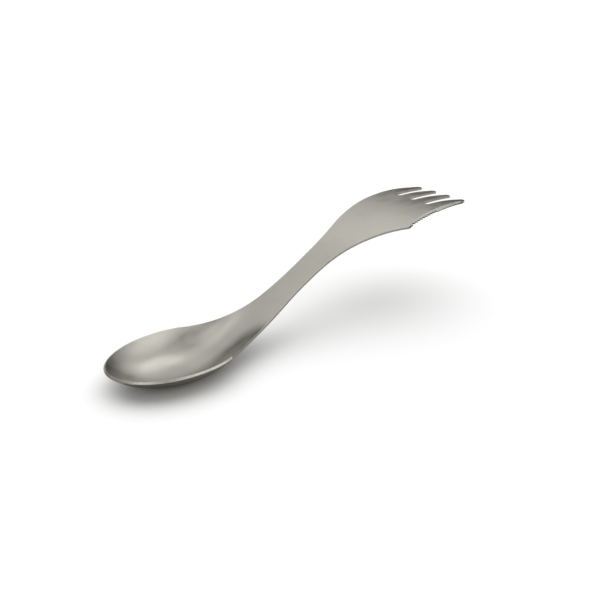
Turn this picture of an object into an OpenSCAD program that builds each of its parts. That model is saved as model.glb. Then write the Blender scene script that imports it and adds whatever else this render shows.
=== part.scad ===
// One-piece spoon-fork, pressed from a single titanium blank.
// +X runs from the bowl's nose to the fork's tips, +Y is the plain side,
// -Y is the serrated side, +Z is up.  The bowl's belly rests on Z = 0 with its
// rim level.  Each node is one region of the blank; neighbours meet face to face.

/* [Sheet] */
// Thickness of the sheet
sheet_t = 1; // [0.8:0.1:1.4]

/* [Bowl] */
// From the inner edge at the nose to the widest section
bowl_nose = 27; // [24:0.5:30]
// Half width at the widest section, inside the rim
bowl_half_w = 18.2; // [16:0.1:20]
// Depth of the hollow below the rim
bowl_depth = 8; // [6:0.1:9]
// Steepness of the walls: 2 is a shallow dish, 3 a fuller bowl
bowl_fullness = 3; // [2:0.1:3.5]
// Distance from the nose to the end of the rim
rim_end = 39.5; // [37:0.5:42]
// Distance from the nose to the end of the hollow in the neck
hollow_end = 66; // [60:0.5:68]

/* [Handle] */
// Distance from the nose to where the edge line starts to rise
rise_start = 41; // [39:0.5:43]
// Radius of the lower bend, on its upper face
lower_bend_r = 66; // [60:1:72]
// Slope of the straight stretch, in degrees
handle_slope = 27.7; // [25:0.1:30]
// Length of the straight stretch
straight_len = 20; // [14:0.5:24]
// Radius of the arch that carries the fork, on its upper face
arch_r = 130; // [120:1:140]
// Distance from the nose to the narrowest section
waist_x = 84.5; // [80:0.5:88]
// Half width at the narrowest section
waist_half_w = 6; // [5:0.1:8]

/* [Fork] */
// Distance from the nose to where the handle becomes the fork's head
head_start = 108; // [104:0.5:112]
// Half width of the head on the plain side
shoulder_half_w = 16.7; // [15:0.1:18]
// Distance from the nose to the centres of the slots' round roots
slot_root = 150; // [148:0.5:152]
// Width of each slot
slot_w = 3.1; // [2.8:0.1:4.2]
// Distance between neighbouring slots
slot_pitch = 8; // [7.6:0.1:8.4]
// How far the middle slot is from the bowl's centre plane
slot_shift = 1.4; // [1:0.1:1.6]
// Distance from the nose to the tips
fork_end = 168.6; // [166:0.1:171]
// Radius of each tine's tip
tip_r = 1.2; // [0.8:0.1:1.4]

/* [Knife edge] */
// Distance from the nose to the corner where the knife edge starts
corner_x = 126.6; // [125:0.1:128]
// Distance of that corner from the bowl's centre plane
corner_y = 18.7; // [18:0.1:19]
// Width of the ground bevel at its start
bevel_w = 2.2; // [1.6:0.1:2.6]
// Thickness left along the cutting line
edge_t = 0.3; // [0.2:0.1:0.6]
// Number of teeth
teeth = 10; // [6:1:12]
// Length of one tooth
tooth_pitch = 1.7; // [1.4:0.1:1.8]
// Depth of the notch between two teeth
tooth_depth = 0.7; // [0.3:0.1:0.8]

/* [Hidden] */

metal = [0.66, 0.64, 0.60];
ground_metal = [0.76, 0.75, 0.71];

// Side profile: level rim, lower bend, straight, arch.  All heights are of the upper face.
rim_z = bowl_depth + sheet_t;
bend_x = rise_start + lower_bend_r * sin(handle_slope);
bend_z = rim_z + lower_bend_r * (1 - cos(handle_slope));
arch_x = bend_x + straight_len * cos(handle_slope);
arch_z = bend_z + straight_len * sin(handle_slope);
crest_x = arch_x + arch_r * sin(handle_slope);
crest_z = arch_z + arch_r * (1 - cos(handle_slope));
hollow_end_angle = asin((hollow_end - rise_start) / lower_bend_r);

// Plan outline as stations: [distance from the nose, half width, change of half width per mm]
widest = [bowl_nose, bowl_half_w, 0];
bowl_back = [39.7, 0.875 * bowl_half_w, -0.42];
waist = [waist_x, waist_half_w, 0];
flare = [110, 9.8, 0.37];
shoulder = [143, shoulder_half_w, 0];
shoulder_end = [slot_root, shoulder_half_w - 0.2, -0.06];
corner = [corner_x, corner_y, 0.85];

// Knife edge: a plain ramp down from the corner, then a straight cutting line to the last tine's tip
cut_start = [corner_x + 2.4, corner_y - 0.7];
cut_end = [fork_end - 3.2, 13.3];
bevel_end_w = 0.9;

// Origin: middle of the overall length and width, at the belly
nose_lip = sheet_t * sin(atan(bowl_fullness * bowl_depth / bowl_nose));
origin = [(fork_end - nose_lip) / 2, 0, 0];

nose_rows = 14;
back_rows = 6;
neck_rows = 12;
across = 16;
outline_step = 2;
tine_steps = 8;
tip_steps = 6;
round_fn = 48;
arc_step = 1.5;
tip_slope = 10;
wide = 60;
tall = 120;

slot_y = [for (k = [1, 0, -1]) slot_shift + k * slot_pitch];

// Smooth curve between two stations, with the given slopes at its ends
function blend(x, a, b) =
    let (h = b[0] - a[0], t = (x - a[0]) / h)
    a[1] * (1 - 3 * t * t + 2 * t * t * t) + h * a[2] * (t - 2 * t * t + t * t * t)
    + b[1] * (3 * t * t - 2 * t * t * t) + h * b[2] * (t * t * t - t * t);

// Height of the upper face along the two edges
function edge_z(x) =
    x < rise_start ? rim_z
    : x < bend_x ? rim_z + lower_bend_r - sqrt(pow(lower_bend_r, 2) - pow(x - rise_start, 2))
    : x < arch_x ? bend_z + (x - bend_x) * tan(handle_slope)
    : crest_z - arch_r + sqrt(pow(arch_r, 2) - pow(x - crest_x, 2));

// Height of the lower face under the arch
function arch_under_z(x) = crest_z - arch_r + sqrt(pow(arch_r - sheet_t, 2) - pow(x - crest_x, 2));

// Half width on the plain side
function half_w(x) =
    x < bowl_nose ? bowl_half_w * sqrt(1 - pow(1 - x / bowl_nose, 2))
    : x < bowl_back[0] ? blend(x, widest, bowl_back)
    : x < waist[0] ? blend(x, bowl_back, waist)
    : x < flare[0] ? blend(x, waist, flare)
    : x < shoulder[0] ? blend(x, flare, shoulder)
    : blend(x, shoulder, shoulder_end);

// Half width on the serrated side, as far as the corner
function knife_half_w(x) = x < flare[0] ? half_w(x) : blend(x, flare, corner);

// Depth below the edge line, as a share of the bowl's depth
function nose_hollow(x, y) = 1 - pow(norm([1 - x / bowl_nose, y / bowl_half_w]), bowl_fullness);
function back_fade(x) = x < hollow_end ? pow(cos(90 * (x - bowl_nose) / (hollow_end - bowl_nose)), 2) : 0;
function hollow(x, y) =
    x < bowl_nose ? nose_hollow(x, y)
    : back_fade(x) * (1 - pow(abs(y) / half_w(x), bowl_fullness));

// Upper face of the bowl and neck, and its lower face one sheet thickness below
function face_z(x, y) = edge_z(x) - bowl_depth * hollow(x, y);
function face_normal(x, y) =
    let (d = 0.01)
    let (dx = (face_z(x + d, y) - face_z(x - d, y)) / (2 * d))
    let (dy = (face_z(x, y + d) - face_z(x, y - d)) / (2 * d))
    [-dx, -dy, 1] / norm([dx, dy, 1]);
function upper(x, y) = [x, y, face_z(x, y)];
function lower(x, y) = upper(x, y) - sheet_t * face_normal(x, y);

// One row of points across the sheet: upper face, then lower face
function row(x) = concat(
    [for (j = [0:across]) upper(x, half_w(x) * (2 * j / across - 1))],
    [for (j = [0:across]) lower(x, half_w(x) * (2 * j / across - 1))]);

// Triangles between rows, and across a row that closes the sheet
function quad(a, b, c, d) = [[a, b, c], [a, c, d]];
function flat(lists) = [for (list = lists) for (item = list) item];
function between(i, n) =
    let (p = i * 2 * n, q = p + 2 * n, last = n - 1)
    flat(concat(
        [for (j = [0:n - 2]) quad(p + j, p + j + 1, q + j + 1, q + j)],
        [for (j = [0:n - 2]) quad(p + n + j, q + n + j, q + n + j + 1, p + n + j + 1)],
        [quad(p, q, q + n, p + n)],
        [quad(p + last, p + n + last, q + n + last, q + last)]));
function row_cap(p, n, front) =
    flat([for (j = [0:n - 2])
        front ? quad(p + j, p + n + j, p + n + j + 1, p + j + 1)
        : quad(p + j, p + j + 1, p + n + j + 1, p + n + j)]);

// Shell through the given rows; with a nose, a fan of triangles closes it to a point
module shell(xs, nose) {
    n = across + 1;
    count = len(xs);
    up = 2 * n * count;
    down = up + 1;
    fan = flat([for (j = [0:n - 2]) [[up, j + 1, j], [down, n + j, n + j + 1]]]);
    fan_sides = [[up, 0, n], [up, n, down], [up, n + n - 1, n - 1], [up, down, n + n - 1]];
    polyhedron(
        points = concat(flat([for (x = xs) row(x)]), nose ? [upper(0, 0), lower(0, 0)] : []),
        faces = concat(
            flat([for (i = [0:count - 2]) between(i, n)]),
            nose ? concat(fan, fan_sides) : row_cap(0, n, true),
            row_cap(2 * n * (count - 1), n, false)));
}

// Side profile of the flat part of the sheet, as [x, z, slope] along its upper face
function steps(from, to, step) =
    let (n = ceil(abs(to - from) / step))
    [for (i = [0:n]) from + (to - from) * i / n];
function reversed(list) = [for (i = [len(list) - 1:-1:0]) list[i]];
profile = concat(
    [for (a = steps(hollow_end_angle, handle_slope, arc_step))
        [rise_start + lower_bend_r * sin(a), rim_z + lower_bend_r * (1 - cos(a)), a]],
    [for (a = steps(handle_slope, -tip_slope, arc_step))
        [crest_x - arch_r * sin(a), crest_z - arch_r * (1 - cos(a)), a]]);

// The flat part of the sheet before its outline is cut
module ribbon() {
    rotate([90, 0, 0]) linear_extrude(height = wide, center = true) polygon(concat(
        [for (p = profile) [p[0], p[1]]],
        [for (p = reversed(profile)) [p[0] + sheet_t * sin(p[2]), p[1] - sheet_t * cos(p[2])]]));
}

// An upright block with the given plan outline
module cut_out(outline) {
    linear_extrude(height = tall) polygon(outline);
}

// Inner line of the bevel, where the knife edge meets the head and the last tine
function bevel_at(x) =
    let (f = (x - cut_start[0]) / (cut_end[0] - cut_start[0]))
    bevel_w + (bevel_end_w - bevel_w) * f;
function cut_y(x) =
    let (f = (x - cut_start[0]) / (cut_end[0] - cut_start[0]))
    -cut_start[1] + (cut_start[1] - cut_end[1]) * f;
function bevel_y(x) = cut_y(x) + bevel_at(x);

// Round end of a tine, from its serrated side to its plain side
function tip_arc(cx, cy) = [for (i = [0:tip_steps])
    let (a = -90 + 180 * i / tip_steps) [cx + tip_r * cos(a), cy + tip_r * sin(a)]];

// A tine whose two sides leave the root straight and curve in to the tip
module tine(low_y, high_y, tip_y, back) {
    cx = fork_end - back - tip_r;
    low = [for (i = [0:tine_steps - 1]) let (x = slot_root + (cx - slot_root) * i / tine_steps)
        [x, blend(x, [slot_root, low_y, 0], [cx, tip_y - tip_r, 0.1])]];
    high = [for (i = [0:tine_steps - 1]) let (x = slot_root + (cx - slot_root) * i / tine_steps)
        [x, blend(x, [slot_root, high_y, 0], [cx, tip_y + tip_r, -0.1])]];
    color(metal) intersection() {
        ribbon();
        cut_out(concat(low, tip_arc(cx, tip_y), reversed(high)));
    }
}

module bowl() {
    nose_xs = [for (i = [1:nose_rows]) bowl_nose * (1 - cos(90 * i / nose_rows))];
    back_xs = [for (i = [1:back_rows]) bowl_nose + (rim_end - bowl_nose) * i / back_rows];
    color(metal) shell(concat(nose_xs, back_xs), true);
}

module neck() {
    color(metal) shell([for (i = [0:neck_rows]) rim_end + (hollow_end - rim_end) * i / neck_rows], false);
}

module handle() {
    xs = steps(hollow_end - 2, head_start, outline_step);
    color(metal) intersection() {
        ribbon();
        cut_out(concat([for (x = xs) [x, -half_w(x)]], [for (x = reversed(xs)) [x, half_w(x)]]));
    }
}

module fork_head() {
    plain_xs = steps(head_start, slot_root, outline_step);
    knife_xs = steps(head_start, corner_x, outline_step);
    color(metal) difference() {
        intersection() {
            ribbon();
            cut_out(concat(
                [for (x = knife_xs) [x, -knife_half_w(x)]],
                [[cut_start[0], -cut_start[1]], [cut_start[0], bevel_y(cut_start[0])], [slot_root, bevel_y(slot_root)]],
                [for (x = reversed(plain_xs)) [x, half_w(x)]]));
        }
        for (y = slot_y) translate([slot_root, y, 0]) cylinder(r = slot_w / 2, h = tall, $fn = round_fn);
    }
}

module tine_1() {
    tine(slot_y[0] + slot_w / 2, half_w(slot_root), 12.8, 0.9);
}

module tine_2() {
    tine(slot_y[1] + slot_w / 2, slot_y[0] - slot_w / 2, 5.2, 0);
}

module tine_3() {
    tine(slot_y[2] + slot_w / 2, slot_y[1] - slot_w / 2, -2.8, 0);
}

module tine_4() {
    cx = fork_end - 0.4 - tip_r;
    tip_y = -11.3;
    inner = slot_y[2] - slot_w / 2;
    high = [for (i = [0:tine_steps - 1]) let (x = slot_root + (cx - slot_root) * i / tine_steps)
        [x, blend(x, [slot_root, inner, 0], [cx, tip_y + tip_r, -0.2])]];
    color(metal) intersection() {
        ribbon();
        cut_out(concat(
            [[slot_root, bevel_y(slot_root)], [cut_end[0], bevel_y(cut_end[0])], [cut_end[0], -cut_end[1]]],
            tip_arc(cx, tip_y),
            reversed(high)));
    }
}

// Ground strip along the serrated side: full sheet thickness inside, thin at the cutting line
module knife_edge() {
    notches = flat([for (i = [0:teeth - 1])
        let (x = cut_start[0] + 0.6 + tooth_pitch * i)
        [[x, 0], [x + tooth_pitch * 0.45, tooth_depth], [x + tooth_pitch * 0.6, tooth_depth]]]);
    plain_start = cut_start[0] + 0.6 + tooth_pitch * teeth;
    cuts = concat([[cut_start[0], 0]], notches, [for (x = steps(plain_start, cut_end[0], outline_step)) [x, 0]]);
    sections = [for (c = cuts)
        let (x = c[0], out_y = cut_y(x) + c[1], in_y = bevel_y(x), base = arch_under_z(x))
        [[x, out_y, base + edge_t], [x, in_y, edge_z(x)], [x, out_y, base], [x, in_y, base]]];
    color(ground_metal) polyhedron(
        points = flat(sections),
        faces = concat(
            flat([for (i = [0:len(cuts) - 2]) between(i, 2)]),
            row_cap(0, 2, true),
            row_cap(4 * (len(cuts) - 1), 2, false)));
}

module place() {
    translate(-origin) children();
}

place() bowl();
place() neck();
place() handle();
place() fork_head();
place() tine_1();
place() tine_2();
place() tine_3();
place() tine_4();
place() knife_edge();
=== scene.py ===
"""One-piece titanium spoon-fork with a serrated edge, on a pale floor in soft studio light.

The object is a single pressed sheet. Its surface is described once, by the Sheet class, and each
region of the blank (bowl, neck, handle, fork head, four tines, ground edge) is a closed solid cut
from that surface, so that it stands for one node of the frame and meets its neighbours exactly.
Plan coordinates are in millimetres: x from the inner edge at the bowl's nose, y from the centre
plane with the plain side positive. Meshes are in metres, in the row frame.
"""

import logging
import math
from abc import ABC, abstractmethod
from dataclasses import dataclass
from enum import Enum

import bpy
import numpy as np
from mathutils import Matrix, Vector
from mathutils.geometry import delaunay_2d_cdt


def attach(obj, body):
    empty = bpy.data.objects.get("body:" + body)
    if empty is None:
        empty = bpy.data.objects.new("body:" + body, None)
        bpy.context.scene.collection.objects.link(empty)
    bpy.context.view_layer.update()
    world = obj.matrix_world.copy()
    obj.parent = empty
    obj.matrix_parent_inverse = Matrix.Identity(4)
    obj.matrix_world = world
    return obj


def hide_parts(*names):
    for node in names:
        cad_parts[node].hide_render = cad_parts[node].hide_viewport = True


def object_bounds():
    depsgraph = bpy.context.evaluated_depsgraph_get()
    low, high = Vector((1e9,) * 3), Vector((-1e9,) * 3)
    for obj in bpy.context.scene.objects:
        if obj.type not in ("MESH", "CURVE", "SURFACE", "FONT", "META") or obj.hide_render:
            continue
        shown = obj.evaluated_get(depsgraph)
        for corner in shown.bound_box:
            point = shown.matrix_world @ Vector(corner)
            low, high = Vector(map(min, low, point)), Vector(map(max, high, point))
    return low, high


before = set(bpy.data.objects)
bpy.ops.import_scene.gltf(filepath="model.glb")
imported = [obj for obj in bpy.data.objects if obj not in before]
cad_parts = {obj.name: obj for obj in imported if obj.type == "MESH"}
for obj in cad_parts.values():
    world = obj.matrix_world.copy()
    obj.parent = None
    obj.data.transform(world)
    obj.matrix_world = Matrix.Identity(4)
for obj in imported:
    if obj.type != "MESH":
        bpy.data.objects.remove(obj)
cad_low, cad_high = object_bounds()

log = logging.getLogger("spoon_fork")
MM = 0.001
TINY = 1e-6


class EdgeKind(Enum):
    """What a stretch of a region's outline is."""

    CUT = "a real edge of the sheet, deburred"
    SEAM = "a plane where the region meets the next one"


class Side(Enum):
    """Side of the centre plane."""

    PLAIN = 1
    SERRATED = -1


class MixKind(Enum):
    """What a Mix node mixes, and the numbers of its two inputs and its output."""

    VALUE = ("FLOAT", 2, 3, 0)
    COLOUR = ("RGBA", 6, 7, 2)


def blend(x: np.ndarray, a: tuple, b: tuple) -> np.ndarray:
    """Smooth curve between two stations.

    Args:
        x: Distances from the nose.
        a: Station as (distance, value, change of value per millimetre).
        b: The next station.

    Returns:
        The value at each distance.
    """
    span = b[0] - a[0]
    t = (x - a[0]) / span
    start = a[1] * (1 - 3 * t**2 + 2 * t**3) + span * a[2] * (t - 2 * t**2 + t**3)
    end = b[1] * (3 * t**2 - 2 * t**3) + span * b[2] * (t**3 - t**2)
    return start + end


def smooth(low: float, high: float, x: np.ndarray) -> np.ndarray:
    """Returns 0 below low, 1 above high, and a smooth rise between them."""
    t = np.clip((x - low) / (high - low), 0.0, 1.0)
    return t * t * (3 - 2 * t)


def unit(v: np.ndarray) -> np.ndarray:
    """Returns each row of v scaled to length 1."""
    return v / np.linalg.norm(v, axis=-1, keepdims=True)


@dataclass(frozen=True)
class SidePath:
    """Side view of the sheet's upper face: level rim, lower bend, straight stretch, arch.

    The arch's crest is the highest point, above the roots of the tines.
    """

    rim_z: float = 9.0
    rise_start: float = 41.0
    bend_r: float = 66.0
    slope: float = math.radians(27.7)
    straight: float = 20.0
    arch_r: float = 130.0

    @property
    def bend_end(self) -> tuple[float, float]:
        """Works out where the lower bend ends.

        Returns:
            Its x and height.
        """
        return (
            self.rise_start + self.bend_r * math.sin(self.slope),
            self.rim_z + self.bend_r * (1 - math.cos(self.slope)),
        )

    @property
    def arch_start(self) -> tuple[float, float]:
        """Returns x and height where the arch starts."""
        x, z = self.bend_end
        return x + self.straight * math.cos(self.slope), z + self.straight * math.sin(self.slope)

    @property
    def crest(self) -> tuple[float, float]:
        """Returns x and height of the arch's highest point."""
        x, z = self.arch_start
        return x + self.arch_r * math.sin(self.slope), z + self.arch_r * (1 - math.cos(self.slope))

    def height(self, x: np.ndarray) -> np.ndarray:
        """Works out the side view.

        Args:
            x: Distances from the nose.

        Returns:
            The height of the sheet's two edges at each x.
        """
        bend_x, bend_z = self.bend_end
        arch_x = self.arch_start[0]
        crest_x, crest_z = self.crest
        rise = np.clip(x - self.rise_start, 0.0, bend_x - self.rise_start)
        drop = np.maximum(x, arch_x) - crest_x
        bend = self.rim_z + self.bend_r - np.sqrt(self.bend_r**2 - rise**2)
        straight = bend_z + (x - bend_x) * math.tan(self.slope)
        arch = crest_z - self.arch_r + np.sqrt(self.arch_r**2 - drop**2)
        return np.where(x < bend_x, bend, np.where(x < arch_x, straight, arch))


@dataclass(frozen=True)
class PlanOutline:
    """Plan view of the blank, as half widths on either side of the centre plane."""

    nose: float = 27.0
    bowl_half_w: float = 18.2
    bowl_back: tuple = (39.7, 0.875 * 18.2, -0.42)
    waist: tuple = (84.5, 6.0, 0.0)
    flare: tuple = (110.0, 9.8, 0.37)
    shoulder: tuple = (143.0, 16.7, 0.0)
    shoulder_end: tuple = (150.0, 16.5, -0.06)
    corner: tuple = (126.6, 18.7, 0.85)
    cut_start: tuple = (129.0, 18.0)
    cut_end: tuple = (165.4, 13.3)
    slot_w: float = 3.1
    slot_ys: tuple = (9.4, 1.4, -6.6)

    def half_width(self, x: np.ndarray) -> np.ndarray:
        """Works out the plan on the plain side, and on both sides as far as the flare.

        Args:
            x: Distances from the nose.

        Returns:
            The half width at each x.
        """
        front = np.clip(1 - x / self.nose, 0.0, 1.0)
        widest = (self.nose, self.bowl_half_w, 0.0)
        stations = [widest, self.bowl_back, self.waist, self.flare, self.shoulder, self.shoulder_end]
        width = self.bowl_half_w * np.sqrt(1 - front**2)
        for a, b in zip(stations, stations[1:]):
            width = np.where(x > a[0], blend(x, a, b), width)
        return width

    def serrated_half_width(self, x: np.ndarray) -> np.ndarray:
        """Returns the half width on the serrated side, as far as the corner."""
        return np.where(x < self.flare[0], self.half_width(x), blend(x, self.flare, self.corner))

    def cut_y(self, x: np.ndarray) -> np.ndarray:
        """Works out the cutting line, from the corner to the last tine's tip.

        Args:
            x: Distances from the nose.

        Returns:
            Its y at each x.
        """
        xs = [self.corner[0], self.cut_start[0], self.cut_end[0]]
        ys = [-self.corner[1], -self.cut_start[1], -self.cut_end[1]]
        return np.interp(x, xs, ys)


@dataclass(frozen=True)
class Sheet:
    """The pressed sheet: its thickness, its side path, its outline and the bowl's hollow."""

    path: SidePath = SidePath()
    plan: PlanOutline = PlanOutline()
    thickness: float = 1.0
    bowl_depth: float = 8.0
    fullness: float = 3.0
    rim_end: float = 39.5
    rim_runout: float = 1.4
    hollow_end: float = 66.0
    head_start: float = 108.0
    root_x: float = 150.0
    fork_end: float = 168.6
    slope_step: float = 0.01

    @property
    def lip(self) -> float:
        """Returns how far the nose's lower edge stands out past its upper edge."""
        wall = math.atan(self.fullness * self.bowl_depth / self.plan.nose)
        return self.thickness * math.sin(wall)

    def hollow(self, x: np.ndarray, y: np.ndarray) -> np.ndarray:
        """Works out how deep the sheet is pressed.

        Args:
            x: Distances from the nose.
            y: Distances from the centre plane.

        Returns:
            The depth below the edge line, as a share of the bowl's depth.
        """
        nose = self.plan.nose
        front = np.hypot(1 - x / nose, y / self.plan.bowl_half_w)
        share = np.clip((x - nose) / (self.hollow_end - nose), 0.0, 1.0)
        across = np.abs(y) / np.maximum(self.plan.half_width(x), TINY)
        back = np.cos(0.5 * math.pi * share) ** 2 * (1 - across**self.fullness)
        return np.where(x < nose, 1 - front**self.fullness, back)

    def upper(self, plan: np.ndarray) -> np.ndarray:
        """Lifts plan points to the upper face.

        Args:
            plan: The plan points.

        Returns:
            The points of the face, in millimetres.
        """
        x, y = plan[:, 0], plan[:, 1]
        z = self.path.height(x) - self.bowl_depth * self.hollow(x, y)
        return np.column_stack([x, y, z])

    def normal(self, plan: np.ndarray) -> np.ndarray:
        """Works out which way the upper face looks.

        Args:
            plan: The plan points.

        Returns:
            The face's unit normals over them.
        """
        step = self.slope_step
        along = self.upper(plan + [step, 0.0]) - self.upper(plan - [step, 0.0])
        across = self.upper(plan + [0.0, step]) - self.upper(plan - [0.0, step])
        return unit(np.cross(along, across))

    def lower(self, plan: np.ndarray) -> np.ndarray:
        """Returns the points of the lower face, one thickness under the upper one."""
        return self.upper(plan) - self.thickness * self.normal(plan)

    def upright(self, x: np.ndarray) -> np.ndarray:
        """Returns how upright the edge is cut: 0 square to the bowl's wall, 1 vertical."""
        return smooth(self.rim_end, self.rim_end + self.rim_runout, x)

    def to_frame(self, points: np.ndarray) -> np.ndarray:
        """Returns points in metres in the row frame, whose origin is at the middle of the length."""
        middle = (self.fork_end - self.lip) / 2
        return (points - [middle, 0.0, 0.0]) * MM


@dataclass(frozen=True)
class Stretch:
    """Part of a region's outline, counter-clockwise from above, without its last point."""

    points: np.ndarray
    kind: EdgeKind


def run(start: float, end: float, step: float) -> np.ndarray:
    """Returns evenly spaced values from start up to end, without the last one."""
    count = max(1, math.ceil(abs(end - start) / step - TINY))
    return start + (end - start) * np.arange(count) / count


def arc(centre: tuple, radius: float, start: float, end: float, count: int) -> np.ndarray:
    """Points on an arc, without the last one.

    Args:
        centre: The arc's centre.
        radius: Its radius.
        start: Angle of the first point, in degrees.
        end: Angle of the point after the last one.
        count: How many points to make.

    Returns:
        The plan points.
    """
    angles = np.radians(start + (end - start) * np.arange(count) / count)
    return np.column_stack([centre[0] + radius * np.cos(angles), centre[1] + radius * np.sin(angles)])


@dataclass
class MeshData:
    """Vertices, faces and shading of one closed solid, before it becomes a Blender mesh."""

    points: list
    normals: list
    edge_distance: list
    faces: list
    flat_faces: list

    def add(self, points: np.ndarray, normals: np.ndarray, distance: np.ndarray) -> np.ndarray:
        """Adds vertices.

        Args:
            points: Positions in millimetres.
            normals: Shading normals.
            distance: Distance of each vertex from the nearest cut edge.

        Returns:
            The new vertices' numbers.
        """
        first = len(self.points)
        self.points.extend(points)
        self.normals.extend(normals)
        self.edge_distance.extend(np.broadcast_to(distance, len(points)))
        return np.arange(first, first + len(points))

    def to_object(self, name: str, sheet: Sheet) -> bpy.types.Object:
        """Makes the Blender object.

        Args:
            name: The object's name.
            sheet: The sheet, which knows where the row frame is.

        Returns:
            The object, smooth along the sheet and flat across its seams.
        """
        mesh = bpy.data.meshes.new(name)
        places = sheet.to_frame(np.array(self.points))
        mesh.from_pydata(places.tolist(), [], self.faces + self.flat_faces)
        mesh.shade_smooth()
        corner_normals = []
        for polygon in mesh.polygons:
            if polygon.index < len(self.faces):
                corner_normals.extend(self.normals[v] for v in polygon.vertices)
            else:
                corner_normals.extend([polygon.normal] * len(polygon.vertices))
        mesh.normals_split_custom_set(corner_normals)
        distances = mesh.attributes.new("edge_distance", "FLOAT", "POINT")
        distances.data.foreach_set("value", np.array(self.edge_distance, np.float32))
        piece = bpy.data.objects.new(name, mesh)
        bpy.context.scene.collection.objects.link(piece)
        return piece


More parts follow.
